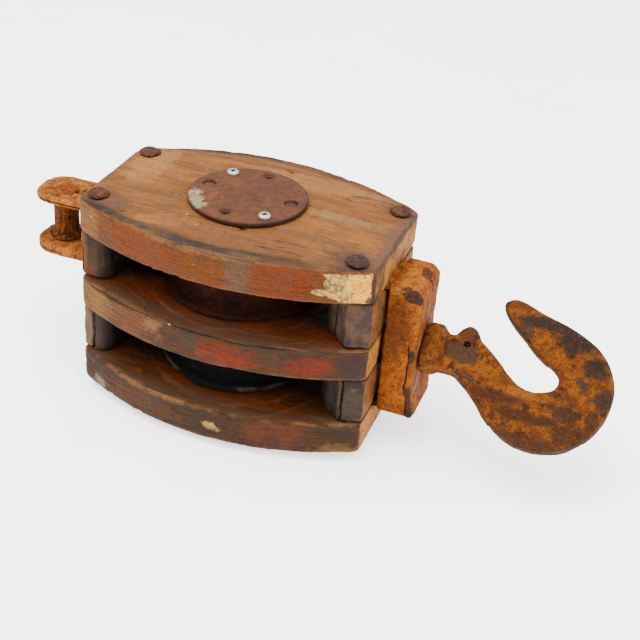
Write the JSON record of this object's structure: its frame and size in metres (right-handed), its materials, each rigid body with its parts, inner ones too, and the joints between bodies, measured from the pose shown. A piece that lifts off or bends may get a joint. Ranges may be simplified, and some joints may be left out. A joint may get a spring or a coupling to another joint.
{
  "type": "double sheave block",
  "caption": "Wooden double sheave block with a swivel hook, inner iron straps and a becket with a turning spool, for rope tackle on a boat.",
  "frame": {"origin": "on the axle's axis, at the outer face of the lower cover plate, which the block rests on", "axes": "+X towards the hook, +Z along the axle towards the upper cover plate, +Y across the sheaves"},
  "size_m": [0.5074, 0.1774, 0.1929],
  "materials": {
    "shell_wood": "weathered, oiled hardwood with worn paint",
    "spacer_wood": "dark weathered hardwood",
    "strap_iron": "orange surface rust",
    "forged_iron": "pitted rust",
    "hook_iron": "pitted rust with dark patches",
    "axle_steel": "worn, greased",
    "sheave_iron": "dark, with a worn rim",
    "bush_bronze": "dull bronze",
    "plate_iron": "smooth brown rust",
    "zinc_screw": "bright zinc plate",
    "fastener_iron": "brown rust"
  },
  "bodies": {
    "shell": {"lower_cheek": "shell_wood", "middle_cheek": "shell_wood", "upper_cheek": "shell_wood", "lower_tail_spacer": "spacer_wood", "upper_tail_spacer": "spacer_wood", "lower_hook_spacer": "spacer_wood", "upper_hook_spacer": "spacer_wood", "upper_strap": "strap_iron", "middle_strap": "strap_iron", "lower_strap": "strap_iron", "crosshead": "forged_iron", "axle": "axle_steel", "upper_cover_plate": "plate_iron", "lower_cover_plate": "plate_iron", "plate_screw_1": "zinc_screw", "plate_screw_2": "zinc_screw", "lower_plate_screw_1": "fastener_iron", "lower_plate_screw_2": "fastener_iron", "lower_plate_screw_3": "fastener_iron", "lower_plate_screw_4": "fastener_iron", "rivet_far_tail": "fastener_iron", "rivet_near_tail": "fastener_iron", "rivet_far_hook": "fastener_iron", "rivet_near_hook": "fastener_iron", "becket_pin": "fastener_iron"},
    "upper_sheave_body": {"upper_sheave": "sheave_iron", "upper_bush": "bush_bronze"},
    "lower_sheave_body": {"lower_sheave": "sheave_iron", "lower_bush": "bush_bronze"},
    "hook_body": {"hook": "hook_iron", "swivel_nut": "forged_iron"},
    "becket_body": {"becket_spool": "strap_iron"}
  },
  "joints": [
    {"name": "upper_sheave_spin", "type": "hinge", "parent": "shell", "child": "upper_sheave_body", "pos_m": [0, 0, 0.12875], "axis": [0, 0, 1], "continuous": true},
    {"name": "lower_sheave_spin", "type": "hinge", "parent": "shell", "child": "lower_sheave_body", "pos_m": [0, 0, 0.0605], "axis": [0, 0, 1], "continuous": true},
    {"name": "hook_swivel", "type": "hinge", "parent": "shell", "child": "hook_body", "pos_m": [0.146, 0, 0.091], "axis": [1, 0, 0], "continuous": true},
    {"name": "becket_spool_spin", "type": "hinge", "parent": "shell", "child": "becket_body", "pos_m": [-0.1685, 0, 0.1295], "axis": [0, 0, 1], "continuous": true}
  ]
}
